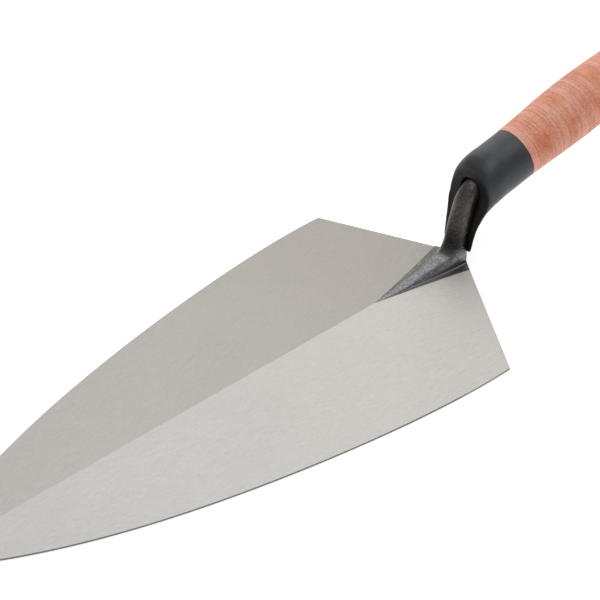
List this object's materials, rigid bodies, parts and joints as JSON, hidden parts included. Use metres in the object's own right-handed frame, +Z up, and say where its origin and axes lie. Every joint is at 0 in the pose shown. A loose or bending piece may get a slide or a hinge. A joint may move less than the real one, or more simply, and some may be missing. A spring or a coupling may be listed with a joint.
{
  "type": "brick trowel",
  "caption": "Philadelphia-pattern brick trowel with a forged steel blade and shank, a moulded finger guard and a stacked-leather handle, for laying and pointing masonry.",
  "frame": {"origin": "on the blade's flat underside, on its centre line, midway between the two heel corners", "axes": "+Z up out of the blade's top face, +X along the centre line from the point towards the handle, +Y to the side"},
  "size_m": [0.423, 0.1396, 0.0882],
  "materials": {
    "ground_steel": "finely ground blade, dark forged bolster and shank",
    "guard_plastic": "satin moulded black plastic",
    "leather_tan": "sanded and waxed edge-on leather, tan",
    "leather_rust": "sanded and waxed edge-on leather, rust",
    "leather_pink": "sanded and waxed edge-on leather, pale",
    "leather_brown": "sanded and waxed edge-on leather, brown",
    "cap_plastic": "satin moulded black plastic",
    "rivet_steel": "plain steel washer"
  },
  "bodies": {
    "root": {"blade_and_tang": "ground_steel", "finger_guard": "guard_plastic", "leather_washer_01": "leather_tan", "leather_washer_02": "leather_rust", "leather_washer_03": "leather_pink", "leather_washer_04": "leather_tan", "leather_washer_05": "leather_brown", "leather_washer_06": "leather_tan", "leather_washer_07": "leather_rust", "leather_washer_08": "leather_pink", "leather_washer_09": "leather_tan", "leather_washer_10": "leather_brown", "leather_washer_11": "leather_tan", "leather_washer_12": "leather_rust", "leather_washer_13": "leather_pink", "leather_washer_14": "leather_tan", "leather_washer_15": "leather_brown", "leather_washer_16": "leather_tan", "leather_washer_17": "leather_rust", "leather_washer_18": "leather_pink", "leather_washer_19": "leather_tan", "leather_washer_20": "leather_brown", "leather_washer_21": "leather_tan", "leather_washer_22": "leather_rust", "leather_washer_23": "leather_pink", "leather_washer_24": "leather_tan", "leather_washer_25": "leather_brown", "butt_cap": "cap_plastic", "rivet_washer": "rivet_steel"}
  },
  "joints": []
}
